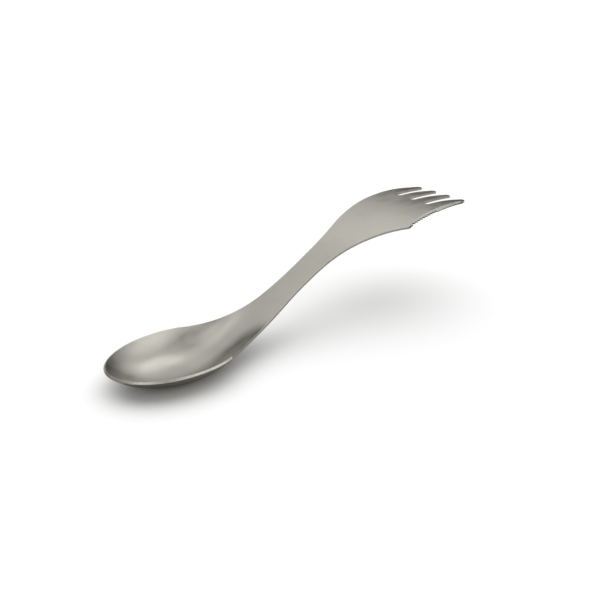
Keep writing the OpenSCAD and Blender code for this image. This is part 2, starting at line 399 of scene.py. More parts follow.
@dataclass(frozen=True)
class SheetSolid:
    """Builds the closed solid between the sheet's two faces over one region of the plan."""

    sheet: Sheet
    stretches: tuple
    grid: float = 0.9
    border_gap: float = 0.6
    deburr: float = 0.16
    arc_steps: int = 3
    slope_step: float = 0.02

    def outline(self) -> tuple[np.ndarray, list]:
        """Joins the stretches.

        Returns:
            All outline points, and the kind of the edge that follows each of them.
        """
        points = np.vstack([s.points for s in self.stretches])
        kinds = [s.kind for s in self.stretches for _ in s.points]
        return points, kinds

    def inward(self, points: np.ndarray, kinds: list) -> np.ndarray:
        """Plan direction from each outline point into the region.

        Args:
            points: The outline.
            kinds: The kind of the edge after each point.

        Returns:
            Unit vectors square to a cut edge, and along the seam where a cut edge meets one.
        """
        ahead = unit(np.roll(points, -1, 0) - points)
        behind = np.roll(ahead, 1, 0)
        tangent = unit(ahead + behind)
        direction = np.column_stack([-tangent[:, 1], tangent[:, 0]])
        for i, kind in enumerate(kinds):
            before = kinds[i - 1]
            if before is EdgeKind.CUT and kind is EdgeKind.SEAM:
                direction[i] = ahead[i]
            elif before is EdgeKind.SEAM and kind is EdgeKind.CUT:
                direction[i] = -behind[i]
        return direction

    def slope_along(self, plan: np.ndarray, inward: np.ndarray) -> np.ndarray:
        """Returns unit vectors that lie on the sheet and point inward."""
        return unit(self.sheet.upper(plan + self.slope_step * inward) - self.sheet.upper(plan))

    def edge_rings(self, points: np.ndarray, inward: np.ndarray) -> tuple:
        """Rounded edge profile at each outline point, from the upper face round to the lower one.

        Args:
            points: The outline.
            inward: Plan directions into the region.

        Returns:
            Profile points, their normals, and the plan points where the profile meets each face.
        """
        sheet = self.sheet
        up = sheet.normal(points)
        lean = np.sum(up[:, :2] * inward, axis=1, keepdims=True)
        shift = sheet.upright(points[:, :1]) * sheet.thickness * lean
        low_plan = points + shift * inward
        top, bottom = sheet.upper(points), sheet.lower(low_plan)
        top_in, bottom_in = self.slope_along(points, inward), self.slope_along(low_plan, inward)
        down = unit(bottom - top)
        out = unit(np.sum(top_in * down, axis=1, keepdims=True) * down - top_in)
        under = -sheet.normal(low_plan)
        turns = [0.5 * math.pi * step / self.arc_steps for step in range(self.arc_steps + 1)]
        edges = ((top, top_in, down, up, turns), (bottom, bottom_in, -down, under, turns[::-1]))
        rings, normals = [], []
        for corner, inside, sinking, face, order in edges:
            for turn in order:
                inset, sink = self.deburr * (1 - math.sin(turn)), self.deburr * (1 - math.cos(turn))
                rings.append(corner + inset * inside + sink * sinking)
                normals.append(unit(math.cos(turn) * face + math.sin(turn) * out))
        top_plan = points + self.deburr * top_in[:, :2]
        bottom_plan = low_plan + self.deburr * bottom_in[:, :2]
        return np.stack(rings, 1), np.stack(normals, 1), top_plan, bottom_plan

    def inner_points(self, border: np.ndarray) -> np.ndarray:
        """Fills a face with the points of a triangular grid.

        Args:
            border: The face's outline.

        Returns:
            The points that are inside the border and clear of it.
        """
        low, high = border.min(0), border.max(0)
        rows = np.arange(low[0], high[0], self.grid * math.sqrt(3) / 2)
        columns = np.arange(low[1] - self.grid, high[1] + self.grid, self.grid)
        x = np.repeat(rows, len(columns))
        y = (columns[None, :] + 0.5 * self.grid * (np.arange(len(rows)) % 2)[:, None]).ravel()
        following = np.roll(border, -1, 0)
        inside = np.zeros(len(x), bool)
        for (x0, y0), (x1, y1) in zip(border, following):
            crosses = (y0 > y) != (y1 > y)
            inside ^= crosses & (x < x0 + (y - y0) * (x1 - x0) / (y1 - y0 + 1e-12))
        grid = np.column_stack([x, y])[inside]
        gap = np.array([np.min(np.sum((border - p) ** 2, axis=1)) for p in grid]).reshape(-1)
        return grid[gap > (self.border_gap * self.grid) ** 2]

    def face_triangles(self, border: np.ndarray, inner: np.ndarray) -> list:
        """Joins a face's points up into triangles.

        Args:
            border: The face's outline.
            inner: The points inside it.

        Returns:
            Triangles, as numbers into the border's points followed by the inner ones.
        """
        count = len(border)
        loop = [(i, (i + 1) % count) for i in range(count)]
        places = [Vector(p) for p in np.vstack([border, inner])]
        made = delaunay_2d_cdt(places, loop, [list(range(count))], 1, 1e-7)
        if len(made[0]) != len(places):
            raise ValueError("the outline crosses itself")
        origins = [source[0] for source in made[3]]
        return [[origins[v] for v in triangle] for triangle in made[2]]

    def build(self, name: str) -> bpy.types.Object:
        """Builds the solid.

        Args:
            name: The object's name.

        Returns:
            A closed object with deburred cut edges and flat seams.
        """
        points, kinds = self.outline()
        rings, ring_normals, top_plan, bottom_plan = self.edge_rings(points, self.inward(points, kinds))
        count = len(points)
        data = MeshData([], [], [], [], [])
        is_cut = np.array([EdgeKind.CUT in (kinds[i - 1], kinds[i]) for i in range(count)])
        top_border = np.where(is_cut[:, None], top_plan, points)
        bottom_border = np.where(is_cut[:, None], bottom_plan, points)
        cut_points = points[is_cut]
        faces = []
        sides = ((top_border, self.sheet.upper, 1), (bottom_border, self.sheet.lower, -1))
        for border, place, sign in sides:
            inner = self.inner_points(border)
            plan = np.vstack([border, inner])
            gaps = [np.sqrt(np.min(np.sum((cut_points - p) ** 2, axis=1))) for p in plan]
            numbers = data.add(place(plan), sign * self.sheet.normal(plan), np.array(gaps))
            faces.append(numbers)
            for a, b, c in self.face_triangles(border, inner):
                data.faces.append([int(numbers[v]) for v in ((a, b, c) if sign > 0 else (a, c, b))])
        columns = []
        for i in range(count):
            column = [int(faces[0][i])]
            if is_cut[i]:
                column += [int(v) for v in data.add(rings[i, 1:-1], ring_normals[i, 1:-1], 0.0)]
            columns.append(column + [int(faces[1][i])])
        for i in range(count):
            here, there = columns[i], columns[(i + 1) % count]
            if kinds[i] is EdgeKind.CUT:
                for k in range(len(here) - 1):
                    data.faces.append([here[k], here[k + 1], there[k + 1], there[k]])
                continue
            data.flat_faces.append([here[0], here[-1], there[-1], there[0]])
            if kinds[i - 1] is EdgeKind.CUT:
                data.flat_faces.append(here)
            if kinds[(i + 1) % count] is EdgeKind.CUT:
                data.flat_faces.append(there[::-1])
        return data.to_object(name, self.sheet)


@dataclass(frozen=True)
class SatinTitanium:
    """Blasted and tumbled titanium: fine even grain, soft marks, edges worn a little brighter."""

    name: str = "satin_titanium"
    colour: tuple = (0.515, 0.498, 0.446, 1.0)
    pale: tuple = (0.560, 0.541, 0.484, 1.0)
    worn: tuple = (0.680, 0.665, 0.630, 1.0)
    roughness: float = 0.34
    roughness_spread: float = 0.04
    worn_roughness: float = 0.28
    wear_reach: float = 0.35
    wear_strength: float = 0.8
    grain_size: float = 0.00022
    grain_bump: float = 0.12

    def material(self, groups: "SurfaceGroups") -> bpy.types.Material:
        """Builds the material.

        Args:
            groups: The shared surface groups.

        Returns:
            The finish as a material.
        """
        made = MaterialTree(self.name)
        grain = made.group(groups.get(BlastedGrain()), size=self.grain_size)
        wear = made.group(groups.get(EdgeWear()), reach=self.wear_reach, strength=self.wear_strength)
        worn = wear.outputs["Wear"]
        tone = made.mix(MixKind.COLOUR, grain.outputs["Tone"], self.colour, self.pale)
        made.feed("Base Color", made.mix(MixKind.COLOUR, worn, tone, self.worn))
        low, high = self.roughness - self.roughness_spread, self.roughness + self.roughness_spread
        rough = made.mix(MixKind.VALUE, grain.outputs["Gloss"], low, high)
        made.feed("Roughness", made.mix(MixKind.VALUE, worn, rough, self.worn_roughness))
        made.bump(grain.outputs["Height"], self.grain_bump)
        made.shader.inputs["Metallic"].default_value = 1.0
        return made.material


@dataclass(frozen=True)
class GroundTitanium:
    """Ground titanium: bright, with fine grinding lines, and painted shade that darkens the cut walls in
    the gullets.
    """

    name: str = "ground_titanium"
    colour: tuple = (0.500, 0.490, 0.465, 1.0)
    pale: tuple = (0.590, 0.580, 0.555, 1.0)
    # Painted shade: a dark colour for the cut walls in the gullets, standing in for the shade in those
    # recesses.
    cut_wall_painted_shade: tuple = (0.160, 0.155, 0.145, 1.0)
    roughness: float = 0.30
    roughness_spread: float = 0.08
    line_size: float = 0.00016
    line_bump: float = 0.25

    def material(self, groups: "SurfaceGroups") -> bpy.types.Material:
        """Builds the material.

        Args:
            groups: The shared surface groups.

        Returns:
            The finish as a material.
        """
        made = MaterialTree(self.name)
        lines = made.group(groups.get(GrindingLines()), size=self.line_size)
        tone = made.mix(MixKind.COLOUR, lines.outputs["Tone"], self.colour, self.pale)
        # Painted shade: faces marked as cut wall take the dark colour.
        wall = made.attribute("cut_wall_painted_shade")
        made.feed("Base Color", made.mix(MixKind.COLOUR, wall, tone, self.cut_wall_painted_shade))
        low, high = self.roughness - self.roughness_spread, self.roughness + self.roughness_spread
        made.feed("Roughness", made.mix(MixKind.VALUE, lines.outputs["Tone"], low, high))
        made.bump(lines.outputs["Height"], self.line_bump)
        made.shader.inputs["Metallic"].default_value = 1.0
        return made.material


class TreeWork:
    """A node tree under construction, with the helpers that every kind of tree needs."""

    def __init__(self, tree: bpy.types.NodeTree) -> None:
        """Keeps the tree that is being built."""
        self.tree = tree

    def put(self, socket: bpy.types.NodeSocket, value: object) -> None:
        """Feeds a socket.

        Args:
            socket: The socket to feed.
            value: Another socket, which is linked to it, or a constant, which it is set to.
        """
        if isinstance(value, bpy.types.NodeSocket):
            self.tree.links.new(value, socket)
        else:
            socket.default_value = value

    def mix(self, kind: MixKind, mask: bpy.types.NodeSocket, a: object, b: object) -> bpy.types.NodeSocket:
        """Mixes two colours or values.

        Args:
            kind: What is mixed.
            mask: A number from 0 to 1.
            a: The result where the mask is 0.
            b: The result where the mask is 1.

        Returns:
            The mixed colour or value.
        """
        data_type, first, second, result = kind.value
        node = self.tree.nodes.new("ShaderNodeMix")
        node.data_type = data_type
        self.tree.links.new(mask, node.inputs[0])
        self.put(node.inputs[first], a)
        self.put(node.inputs[second], b)
        return node.outputs[result]

    def attribute(self, name: str) -> bpy.types.NodeSocket:
        """Reads a number that is stored in the mesh.

        Args:
            name: The attribute's name.

        Returns:
            The number, as a socket.
        """
        node = self.tree.nodes.new("ShaderNodeAttribute")
        node.attribute_name = name
        return node.outputs["Fac"]


class MaterialTree(TreeWork):
    """A material whose Principled BSDF is fed step by step."""

    def __init__(self, name: str) -> None:
        """Makes an empty material with a Principled BSDF and its output.

        Args:
            name: The material's name.
        """
        self.material = bpy.data.materials.new(name)
        self.material.use_nodes = True
        super().__init__(self.material.node_tree)
        self.tree.nodes.clear()
        self.shader = self.tree.nodes.new("ShaderNodeBsdfPrincipled")
        output = self.tree.nodes.new("ShaderNodeOutputMaterial")
        self.tree.links.new(self.shader.outputs["BSDF"], output.inputs["Surface"])

    def group(self, group: bpy.types.NodeTree, **values: float) -> bpy.types.Node:
        """Places a node group.

        Args:
            group: The group.
            values: Its inputs' values, each under the input's name in lower case.

        Returns:
            The new node.
        """
        node = self.tree.nodes.new("ShaderNodeGroup")
        node.node_tree = group
        for name, value in values.items():
            node.inputs[name.capitalize()].default_value = value
        return node

    def feed(self, name: str, value: bpy.types.NodeSocket) -> None:
        """Links a value to the shader's input of that name."""
        self.tree.links.new(value, self.shader.inputs[name])

    def bump(self, height: bpy.types.NodeSocket, strength: float) -> None:
        """Feeds the shader's normal.

        Args:
            height: The surface's height in metres.
            strength: How much of it shows.
        """
        node = self.tree.nodes.new("ShaderNodeBump")
        node.inputs["Strength"].default_value = strength
        node.inputs["Distance"].default_value = 1.0
        self.tree.links.new(height, node.inputs["Height"])
        self.feed("Normal", node.outputs["Normal"])


class GroupTree(TreeWork):
    """A shader node group under construction, with helpers for the nodes it needs."""

    def __init__(self, name: str, inputs: dict, outputs: tuple) -> None:
        """Makes the group.

        Args:
            name: The group's name.
            inputs: Each input's name and usual value.
            outputs: The outputs' names.
        """
        super().__init__(bpy.data.node_groups.new(name, "ShaderNodeTree"))
        for key, value in inputs.items():
            socket = self.tree.interface.new_socket(key, in_out="INPUT", socket_type="NodeSocketFloat")
            socket.default_value = value
        for key in outputs:
            self.tree.interface.new_socket(key, in_out="OUTPUT", socket_type="NodeSocketFloat")
        self.inputs = self.tree.nodes.new("NodeGroupInput").outputs
        self.outputs = self.tree.nodes.new("NodeGroupOutput").inputs

    def math(self, operation: str, a: object, b: object = 0.0) -> bpy.types.NodeSocket:
        """Adds a Math node.

        Args:
            operation: The node's operation.
            a: Its first number or socket.
            b: Its second number or socket.

        Returns:
            The result.
        """
        node = self.tree.nodes.new("ShaderNodeMath")
        node.operation = operation
        self.put(node.inputs[0], a)
        self.put(node.inputs[1], b)
        return node.outputs[0]

    def add(self, a: bpy.types.NodeSocket, share_a: float, b: bpy.types.NodeSocket) -> bpy.types.NodeSocket:
        """Returns a weighted mean of two values, where share_a is the weight of the first."""
        return self.math("ADD", self.math("MULTIPLY", a, share_a), self.math("MULTIPLY", b, 1 - share_a))

    def place(self, size: object, stretch: tuple = (1.0, 1.0, 1.0)) -> bpy.types.NodeSocket:
        """Makes the coordinates of a pattern.

        Args:
            size: The pattern's size in metres.
            stretch: How much it is squeezed along each axis.

        Returns:
            The object coordinates, squeezed and divided by the size.
        """
        coordinates = self.tree.nodes.new("ShaderNodeTexCoord")
        scaled = self.tree.nodes.new("ShaderNodeVectorMath")
        scaled.operation = "MULTIPLY"
        scaled.inputs[1].default_value = stretch
        self.tree.links.new(coordinates.outputs["Object"], scaled.inputs[0])
        sized = self.tree.nodes.new("ShaderNodeVectorMath")
        sized.operation = "SCALE"
        self.tree.links.new(scaled.outputs[0], sized.inputs[0])
        self.put(sized.inputs["Scale"], self.math("DIVIDE", 1.0, size))
        return sized.outputs[0]

    def noise(self, place: bpy.types.NodeSocket, detail: float, rough: float) -> bpy.types.NodeSocket:
        """Adds a noise.

        Args:
            place: Its coordinates.
            detail: How many finer layers it has.
            rough: How strong those layers are.

        Returns:
            The noise, between 0 and 1.
        """
        node = self.tree.nodes.new("ShaderNodeTexNoise")
        node.inputs["Scale"].default_value = 1.0
        node.inputs["Detail"].default_value = detail
        node.inputs["Roughness"].default_value = rough
        self.tree.links.new(place, node.inputs["Vector"])
        return node.outputs["Fac"]

    def spread(self, value: bpy.types.NodeSocket, low: float, high: float) -> bpy.types.NodeSocket:
        """Stretches a value and clamps it.

        Args:
            value: The value.
            low: What becomes 0.
            high: What becomes 1.

        Returns:
            The stretched value.
        """
        node = self.tree.nodes.new("ShaderNodeMapRange")
        node.interpolation_type = "SMOOTHSTEP"
        node.inputs["From Min"].default_value = low
        node.inputs["From Max"].default_value = high
        self.tree.links.new(value, node.inputs["Value"])
        return node.outputs["Result"]

    def give(self, name: str, value: bpy.types.NodeSocket) -> None:
        """Links value to the group's output of that name."""
        self.tree.links.new(value, self.outputs[name])


@dataclass(frozen=True)
class Pattern(ABC):
    """A surface effect that materials share as a node group."""

    @abstractmethod
    def build(self) -> bpy.types.NodeTree:
        """Returns the effect as a new node group."""


@dataclass(frozen=True)
class BlastedGrain(Pattern):
    """Round pits, cloudy patches, and faint marks and scratches drawn along the blank.

    The group's Size is the size of a pit in metres. It gives Tone and Gloss masks, and Height.
    """

    cloud_size: float = 45.0
    mark_size: float = 9.0
    mark_stretch: tuple = (0.12, 1.0, 1.0)
    scratch_stretch: tuple = (0.03, 1.3, 1.0)
    scratch_range: tuple = (0.58, 0.72)
    scratch_depth: float = 0.12
    cloud_in_tone: float = 0.6
    cloud_in_gloss: float = 0.5
    mask_range: tuple = (0.36, 0.64)
    relief: float = 0.25

    def build(self) -> bpy.types.NodeTree:
        """Builds the grain.

        Returns:
            A new node group.
        """
        made = GroupTree("blasted_grain", {"Size": 0.0002}, ("Tone", "Gloss", "Height"))
        size = made.inputs["Size"]
        pits = made.noise(made.place(size), 3.0, 0.6)
        cloud = made.noise(made.place(made.math("MULTIPLY", size, self.cloud_size)), 4.0, 0.55)
        mark_place = made.place(made.math("MULTIPLY", size, self.mark_size), self.mark_stretch)
        marks = made.noise(mark_place, 3.0, 0.6)
        scratches = made.noise(made.place(size, self.scratch_stretch), 2.0, 0.5)
        cuts = made.math("MULTIPLY", made.spread(scratches, *self.scratch_range), -self.scratch_depth)
        tone = made.add(cloud, self.cloud_in_tone, pits)
        gloss = made.add(cloud, self.cloud_in_gloss, marks)
        made.give("Tone", made.spread(tone, *self.mask_range))
        made.give("Gloss", made.spread(gloss, *self.mask_range))
        height = made.math("MULTIPLY", size, self.relief)
        made.give("Height", made.math("MULTIPLY", made.math("ADD", pits, cuts), height))
        return made.tree


@dataclass(frozen=True)
class EdgeWear(Pattern):
    """Wear along the sheet's cut edges.

    The group's Reach is in millimetres from the edge. It gives a Wear mask.
    """

    patch_size: float = 0.0012
    least_reach: float = 0.5
    patch_range: tuple = (0.30, 0.62)

    def build(self) -> bpy.types.NodeTree:
        """Builds the wear.

        Returns:
            A new node group.
        """
        made = GroupTree("edge_wear", {"Reach": 0.35, "Strength": 0.8}, ("Wear",))
        distance = made.attribute("edge_distance")
        patches = made.noise(made.place(self.patch_size), 4.0, 0.6)
        reach = made.math("MULTIPLY", made.inputs["Reach"], made.math("ADD", patches, self.least_reach))
        near = made.math("SUBTRACT", 1.0, made.math("DIVIDE", distance, reach))
        near = made.math("MULTIPLY", made.math("MAXIMUM", near, 0.0), made.inputs["Strength"])
        made.give("Wear", made.math("MULTIPLY", near, made.spread(patches, *self.patch_range)))
        return made.tree


@dataclass(frozen=True)
class GrindingLines(Pattern):
    """Grinding lines that run across the blank.

    The group's Size is the width of a line in metres. It gives a Tone mask, and Height.
    """

    line_stretch: tuple = (1.0, 0.06, 0.3)
    cloud_size: float = 12.0
    lines_in_tone: float = 0.7
    tone_range: tuple = (0.34, 0.66)
    relief: float = 0.2

    def build(self) -> bpy.types.NodeTree:
        """Builds the lines.

        Returns:
            A new node group.
        """
        made = GroupTree("grinding_lines", {"Size": 0.0002}, ("Tone", "Height"))
        size = made.inputs["Size"]
        lines = made.noise(made.place(size, self.line_stretch), 3.0, 0.65)
        cloud = made.noise(made.place(made.math("MULTIPLY", size, self.cloud_size)), 3.0, 0.5)
        tone = made.add(lines, self.lines_in_tone, cloud)
        made.give("Tone", made.spread(tone, *self.tone_range))
        made.give("Height", made.math("MULTIPLY", lines, made.math("MULTIPLY", size, self.relief)))
        return made.tree


class SurfaceGroups:
    """The shader node groups that the finishes share, each built once."""

    def __init__(self) -> None:
        """Starts with no group built."""
        self.built = {}

    def get(self, pattern: Pattern) -> bpy.types.NodeTree:
        """Looks a pattern up, and builds it the first time.

        Args:
            pattern: The effect that is wanted.

        Returns:
            Its node group.
        """
        if pattern not in self.built:
            self.built[pattern] = pattern.build()
        return self.built[pattern]


@dataclass
class Region(ABC):
    """One region of the blank. Each builds its own closed solid and stands for one CAD node."""

    sheet: Sheet
    name: str
    node: str
    slot: str = "satin_titanium"
    edge_step: float = 0.55
    seam_step: float = 0.9

    @abstractmethod
    def stretches(self) -> tuple:
        """Returns the region's outline as stretches, counter-clockwise from above."""

    def seam(self, x: float, start: float, end: float) -> Stretch:
        """Runs a seam across the blank.

        Args:
            x: Where it crosses.
            start: The y where it starts.
            end: The y where it ends.

        Returns:
            The seam.
        """
        ys = run(min(start, end), max(start, end), self.seam_step)
        ys = np.append(ys, max(start, end))
        ys = (ys if start < end else ys[::-1])[:-1]
        return Stretch(np.column_stack([np.full(len(ys), x), ys]), EdgeKind.SEAM)

    def side(self, start: float, end: float, side: Side) -> Stretch:
        """Returns the blank's edge from x start to x end, on one side."""
        xs = run(start, end, self.edge_step)
        return Stretch(np.column_stack([xs, side.value * self.sheet.plan.half_width(xs)]), EdgeKind.CUT)

    def build(self) -> bpy.types.Object:
        """Returns the region's closed mesh object."""
        return SheetSolid(self.sheet, self.stretches()).build(self.name)

    def fit(self, material: bpy.types.Material) -> bpy.types.Object:
        """Builds the region, dresses it and ties it to the frame.

        Args:
            material: Its finish.

        Returns:
            The finished piece.
        """
        piece = self.build()
        piece.data.materials.append(material)
        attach(piece, "root")
        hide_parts(self.node)
        log.info("%s: %d faces, stands for %s", self.name, len(piece.data.polygons), self.node)
        return piece


@dataclass
class Bowl(Region):
    """The pressed bowl, with its edge cut square to the wall all round the nose."""

    nose_points: int = 150

    def stretches(self) -> tuple:
        """Draws the seam to the neck, then the rim round the nose.

        Returns:
            The region's outline.
        """
        plan, end = self.sheet.plan, self.sheet.rim_end
        width = float(plan.half_width(np.array(end)))
        turn = np.linspace(0.5, -0.5, self.nose_points + 1)[:-1] * math.pi
        nose = np.column_stack([plan.nose * (1 - np.cos(turn)), plan.bowl_half_w * np.sin(turn)])
        return (
            self.seam(end, -width, width),
            self.side(end, plan.nose, Side.PLAIN),
            Stretch(nose, EdgeKind.CUT),
            self.side(plan.nose, end, Side.SERRATED),
        )


@dataclass
class Strip(Region):
    """A stretch of the blank between two seams."""

    start: float = 0.0
    end: float = 0.0

    def stretches(self) -> tuple:
        """Draws the two seams and the two edges between them.

        Returns:
            The region's outline.
        """
        near, far = self.sheet.plan.half_width(np.array([self.start, self.end]))
        return (
            self.seam(self.start, near, -near),
            self.side(self.start, self.end, Side.SERRATED),
            self.seam(self.end, -far, far),
            self.side(self.end, self.start, Side.PLAIN),
        )


@dataclass(frozen=True)
class Bevel:
    """The ground strip along the serrated side: how wide it is and where its inner line runs."""

    sheet: Sheet
    width: float = 2.0
    end_width: float = 1.2
    run_in: float = 7.0
    run_out: float = 5.5
    edge_left: float = 0.18
    steepest: float = 0.45
    least_width: float = 0.18
    step: float = 0.5

    def width_at(self, x: np.ndarray) -> np.ndarray:
        """Works out the width, which grows from nothing at the corner and fades at the tip.

        Args:
            x: Distances from the nose.

        Returns:
            The bevel's width at each x.
        """
        start, end = self.sheet.plan.corner[0], self.sheet.plan.cut_end[0]
        full = np.interp(x, [start, end], [self.width, self.end_width])
        grow = 1 - (1 - np.clip((x - start) / self.run_in, 0.0, 1.0)) ** 2
        fade = 1 - (1 - np.clip((end - x) / self.run_out, 0.0, 1.0)) ** 2
        return full * grow * fade

    def inner_y(self, x: np.ndarray) -> np.ndarray:
        """Returns y of the line where the bevel meets the upper face."""
        return self.sheet.plan.cut_y(x) + self.width_at(x)

    def fall(self, x: np.ndarray) -> np.ndarray:
        """Works out how steeply the face is ground.

        Args:
            x: Distances from the nose.

        Returns:
            How far it drops for each millimetre across, at each x.
        """
        width = self.width_at(x)
        share = np.minimum(width / self.end_width, 1.0)
        slope = (self.sheet.thickness - self.edge_left) * share**2 / np.maximum(width, self.least_width)
        return np.minimum(slope, self.steepest)

    def seam(self, start: float, end: float) -> Stretch:
        """Returns the bevel's inner line as a seam, from x start to x end."""
        xs = run(start, end, self.step)
        return Stretch(np.column_stack([xs, self.inner_y(xs)]), EdgeKind.SEAM)


@dataclass
class ForkHead(Region):
    """The flat head: the corner, the line of the bevel, and the round roots of three slots."""

    bevel: Bevel | None = None
    root_points: int = 20

    def stretches(self) -> tuple:
        """Draws from the handle's seam round the corner and the slots.

        Returns:
            The region's outline.
        """
        sheet, plan = self.sheet, self.sheet.plan
        width = float(plan.half_width(np.array(sheet.head_start)))
        xs = run(sheet.head_start, plan.corner[0], self.edge_step)
        serrated = np.column_stack([xs, -plan.serrated_half_width(xs)])
        made = [self.seam(sheet.head_start, width, -width), Stretch(serrated, EdgeKind.CUT)]
        made.append(self.bevel.seam(plan.corner[0], sheet.root_x))
        y = float(self.bevel.inner_y(np.array(sheet.root_x)))
        radius = plan.slot_w / 2
        for centre in reversed(plan.slot_ys):
            made.append(self.seam(sheet.root_x, y, centre - radius))
            root = arc((sheet.root_x, centre), radius, 270.0, 90.0, self.root_points)
            made.append(Stretch(root, EdgeKind.CUT))
            y = centre + radius
        made.append(self.seam(sheet.root_x, y, float(plan.half_width(np.array(sheet.root_x)))))
        made.append(self.side(sheet.root_x, sheet.head_start, Side.PLAIN))
        return tuple(made)


@dataclass
class Tine(Region):
    """One tine, whose sides leave the root straight and curve in to a round tip."""

    low: float = 0.0
    high: float = 0.0
    tip_y: float = 0.0
    back: float = 0.0
    lean_in: float = 0.1
    tip_r: float = 1.2
    tip_points: int = 14

    @property
    def tip_x(self) -> float:
        """Returns x of the centre of the round tip."""
        return self.sheet.fork_end - self.back - self.tip_r

    def edge(self, root_y: float, side: Side, lean: float) -> np.ndarray:
        """Draws one side, from the root to the round tip.

        Args:
            root_y: The y where it leaves the root.
            side: Which side of the tine it is.
            lean: How much it leans in at the tip, per millimetre.

        Returns:
            Its points, without the last one.
        """
        xs = run(self.sheet.root_x, self.tip_x, self.edge_step)
        end = (self.tip_x, self.tip_y + side.value * self.tip_r, -side.value * lean)
        return np.column_stack([xs, blend(xs, (self.sheet.root_x, root_y, 0.0), end)])

    def back_edge(self) -> Stretch:
        """Draws the plain side, from the tip back to the root.

        Returns:
            The stretch.
        """
        forward = self.edge(self.high, Side.PLAIN, self.lean_in)
        tip = [[self.tip_x, self.tip_y + self.tip_r]]
        return Stretch(np.vstack([tip, forward[:0:-1]]), EdgeKind.CUT)

    def tip(self) -> Stretch:
        """Returns the round tip, from the serrated side to the plain side."""
        centre = (self.tip_x, self.tip_y)
        return Stretch(arc(centre, self.tip_r, -90.0, 90.0, self.tip_points), EdgeKind.CUT)

    def stretches(self) -> tuple:
        """Returns the root's seam, the two sides and the tip between them."""
        near = Stretch(self.edge(self.low, Side.SERRATED, self.lean_in), EdgeKind.CUT)
        return (self.seam(self.sheet.root_x, self.high, self.low), near, self.tip(), self.back_edge())


@dataclass
class GroundTine(Tine):
    """The outer tine on the serrated side, which carries the end of the bevel."""

    bevel: Bevel | None = None

    def stretches(self) -> tuple:
        """Draws the root's seam, the bevel's line, the plain end of the edge, the tip and back.

        Returns:
            The region's outline.
        """
        end_x, end_y = self.sheet.plan.cut_end
        corner = Stretch(np.array([[end_x, -end_y]]), EdgeKind.CUT)
        return (
            self.seam(self.sheet.root_x, self.high, self.low),
            self.bevel.seam(self.sheet.root_x, end_x),
            corner,
            self.tip(),
            self.back_edge(),
        )


@dataclass
class KnifeEdge(Region):
    """The ground bevel with its row of round gullets between pointed teeth."""

    bevel: Bevel | None = None
    teeth: int = 10
    pitch: float = 1.7
    depth: float = 0.85
    land: float = 0.14
    first_tooth: float = 129.4
    fine_step: float = 0.085
    rows_across: int = 6
    margin: float = 0.15
    least_width: float = 0.02
    sharp_angle: float = math.radians(28)

    def stretches(self) -> tuple:
        """Returns nothing, because the strip is built row by row."""
        return ()

    def gullet(self, x: np.ndarray) -> np.ndarray:
        """Works out the row of gullets.

        Args:
            x: Distances from the nose.

        Returns:
            How far the cutting line is set back at each x.
        """
        phase = (x - self.first_tooth) / self.pitch
        inside = (phase >= 0) & (phase < self.teeth)
        reach = (np.mod(phase, 1.0) - 0.5) / (0.5 - self.land / 2)
        return np.where(inside, self.depth * np.sqrt(np.maximum(1 - reach**2, 0.0)), 0.0)

    def build(self) -> bpy.types.Object:
        """Builds the strip as one closed loft along x.

        Returns:
            The mesh object, smooth along the bevel and sharp at its lines.
        """
        sheet, plan = self.sheet, self.sheet.plan
        start, end = plan.corner[0] + self.margin, plan.cut_end[0] - self.margin
        teeth_end = self.first_tooth + self.teeth * self.pitch
        xs = np.concatenate([
            run(start, self.first_tooth, self.edge_step),
            run(self.first_tooth, teeth_end, self.fine_step),
            run(teeth_end, end, self.edge_step),
            [end],
        ])
        inner = self.bevel.inner_y(xs)
        outer = np.minimum(plan.cut_y(xs) + self.gullet(xs), inner - self.least_width)
        shares = np.linspace(0.0, 1.0, self.rows_across)
        rows = []
        for share in shares:
            line = np.column_stack([xs, inner + share * (outer - inner)])
            drop = self.bevel.fall(xs) * (inner - line[:, 1])
            rows.append(sheet.upper(line) - drop[:, None] * sheet.normal(line))
        for share in shares[::-1]:
            rows.append(sheet.lower(np.column_stack([xs, inner + share * (outer - inner)])))
        points = sheet.to_frame(np.stack(rows, 1).reshape(-1, 3))
        ring = len(rows)
        faces = [list(range(ring))]
        for i in range(len(xs) - 1):
            for k in range(ring):
                a, b = i * ring + k, i * ring + (k + 1) % ring
                faces.append([b, a, a + ring, b + ring])
        faces.append([(len(xs) - 1) * ring + k for k in reversed(range(ring))])
        mesh = bpy.data.meshes.new(self.name)
        mesh.from_pydata(points.tolist(), [], faces)
        mesh.shade_smooth()
        mesh.set_sharp_from_angle(angle=self.sharp_angle)
        # The outer cut wall is marked so that the ground finish paints it dark as shade.
        wall = self.rows_across - 1
        is_wall = [0.0] + [float(k == wall) for _ in xs[1:] for k in range(ring)] + [0.0]
        walls = mesh.attributes.new("cut_wall_painted_shade", "FLOAT", "FACE")
        walls.data.foreach_set("value", np.array(is_wall, np.float32))
        piece = bpy.data.objects.new(self.name, mesh)
        bpy.context.scene.collection.objects.link(piece)
        return piece


